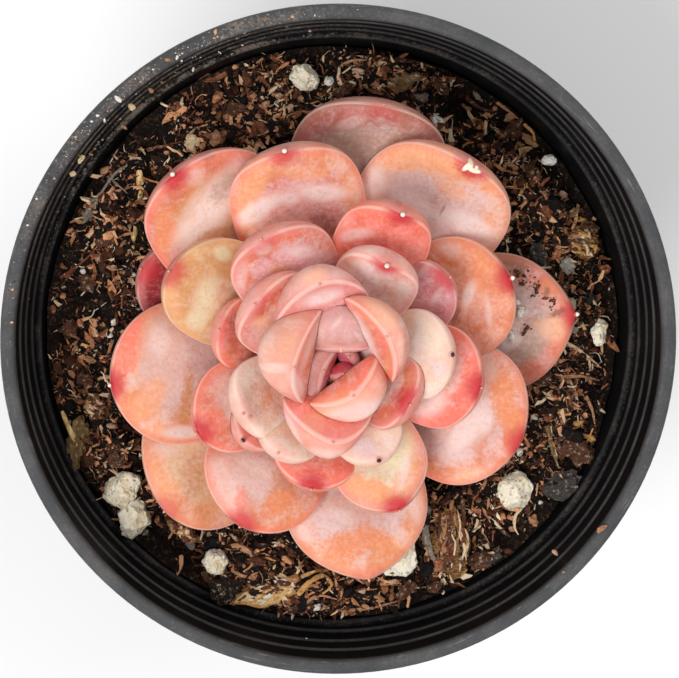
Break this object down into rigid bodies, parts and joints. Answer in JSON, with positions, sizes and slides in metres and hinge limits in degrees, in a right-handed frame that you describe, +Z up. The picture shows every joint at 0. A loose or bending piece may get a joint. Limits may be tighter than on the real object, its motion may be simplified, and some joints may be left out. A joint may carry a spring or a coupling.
{
  "type": "potted icy laui echeveria",
  "caption": "Plump-leaved pastel succulent rosette on a short hidden stem, in bark mix with pumice and straw, in a small round black nursery pot that stands on its foot ring.",
  "frame": {"origin": "centre of the pot's foot ring, on the surface that the pot stands on", "axes": "+Z up along the pot's axis; +Y away from a viewer who looks down over the pot, the way the outermost top leaf points; +X to that viewer's right. The rosette stands nearly upright."},
  "size_m": [0.09, 0.09, 0.0885],
  "materials": {
    "pot_plastic": "moulded black plastic, satin, scuffed and dusty at the lip",
    "potting_mix": "dark damp bark and peat, rough",
    "stem": "woody succulent stem, dry and rough",
    "leaf_blush": "thick waxy leaf skin under a fine powdery bloom, soft sheen, blush peach with pale edges",
    "leaf_mauve": "thick waxy leaf skin under a fine powdery bloom, soft sheen, mauve pink with a pale lip",
    "leaf_cream": "thick waxy leaf skin under a fine powdery bloom, soft sheen, cream with a pink edge",
    "leaf_coral": "thick waxy leaf skin under a fine powdery bloom, soft sheen, coral red towards the tip",
    "leaf_rose": "thick waxy leaf skin under a fine powdery bloom, soft sheen, rose pink",
    "leaf_salmon": "thick waxy leaf skin under a fine powdery bloom, soft sheen, salmon orange with a pink edge",
    "leaf_peach": "thick waxy leaf skin under a fine powdery bloom, soft sheen, peach with an orange edge",
    "leaf_tan": "thick waxy leaf skin under a fine powdery bloom, soft sheen, yellow tan",
    "leaf_dusty": "thick waxy leaf skin under a fine powdery bloom, soft sheen, dusty brown pink",
    "leaf_crimson": "thick waxy leaf skin under a fine powdery bloom, soft sheen, dark red",
    "pumice": "pale porous volcanic stone, matte",
    "perlite": "white expanded mineral grain, matte",
    "bark": "tan bark chip, fibrous and rough",
    "straw": "dry straw, slightly glossy"
  },
  "bodies": {
    "root": {"nursery_pot": "pot_plastic", "potting_mix": "potting_mix", "stem": "stem", "heart_leaf_1": "leaf_blush", "heart_leaf_2": "leaf_blush", "heart_leaf_3": "leaf_mauve", "heart_leaf_4": "leaf_blush", "heart_leaf_5": "leaf_mauve", "heart_leaf_6": "leaf_blush", "heart_leaf_7": "leaf_salmon", "inner_leaf_1": "leaf_cream", "inner_leaf_2": "leaf_blush", "inner_leaf_3": "leaf_blush", "inner_leaf_4": "leaf_cream", "inner_leaf_5": "leaf_cream", "inner_leaf_6": "leaf_cream", "inner_leaf_7": "leaf_cream", "inner_leaf_8": "leaf_blush", "middle_leaf_1": "leaf_coral", "middle_leaf_2": "leaf_rose", "middle_leaf_3": "leaf_salmon", "middle_leaf_4": "leaf_peach", "middle_leaf_5": "leaf_coral", "middle_leaf_6": "leaf_rose", "middle_leaf_7": "leaf_salmon", "middle_leaf_8": "leaf_coral", "outer_leaf_1": "leaf_salmon", "outer_leaf_2": "leaf_peach", "outer_leaf_3": "leaf_tan", "outer_leaf_4": "leaf_peach", "outer_leaf_5": "leaf_peach", "outer_leaf_6": "leaf_peach", "outer_leaf_7": "leaf_salmon", "outer_leaf_8": "leaf_salmon", "outer_leaf_9": "leaf_rose", "outer_leaf_10": "leaf_peach", "outer_leaf_11": "leaf_dusty", "outer_leaf_12": "leaf_dusty", "outer_leaf_13": "leaf_crimson", "pumice_stone_1": "pumice", "pumice_stone_2": "pumice", "pumice_stone_3": "pumice", "pumice_stone_4": "pumice", "pumice_stone_5": "pumice", "pumice_stone_6": "pumice", "pumice_stone_7": "pumice", "perlite_grain_1": "perlite", "perlite_grain_2": "perlite", "perlite_grain_3": "perlite", "perlite_grain_4": "perlite", "bark_chip_1": "bark", "bark_chip_2": "bark", "bark_chip_3": "bark", "bark_chip_4": "bark", "bark_chip_5": "bark", "straw_1": "straw", "straw_2": "straw"}
  },
  "joints": []
}
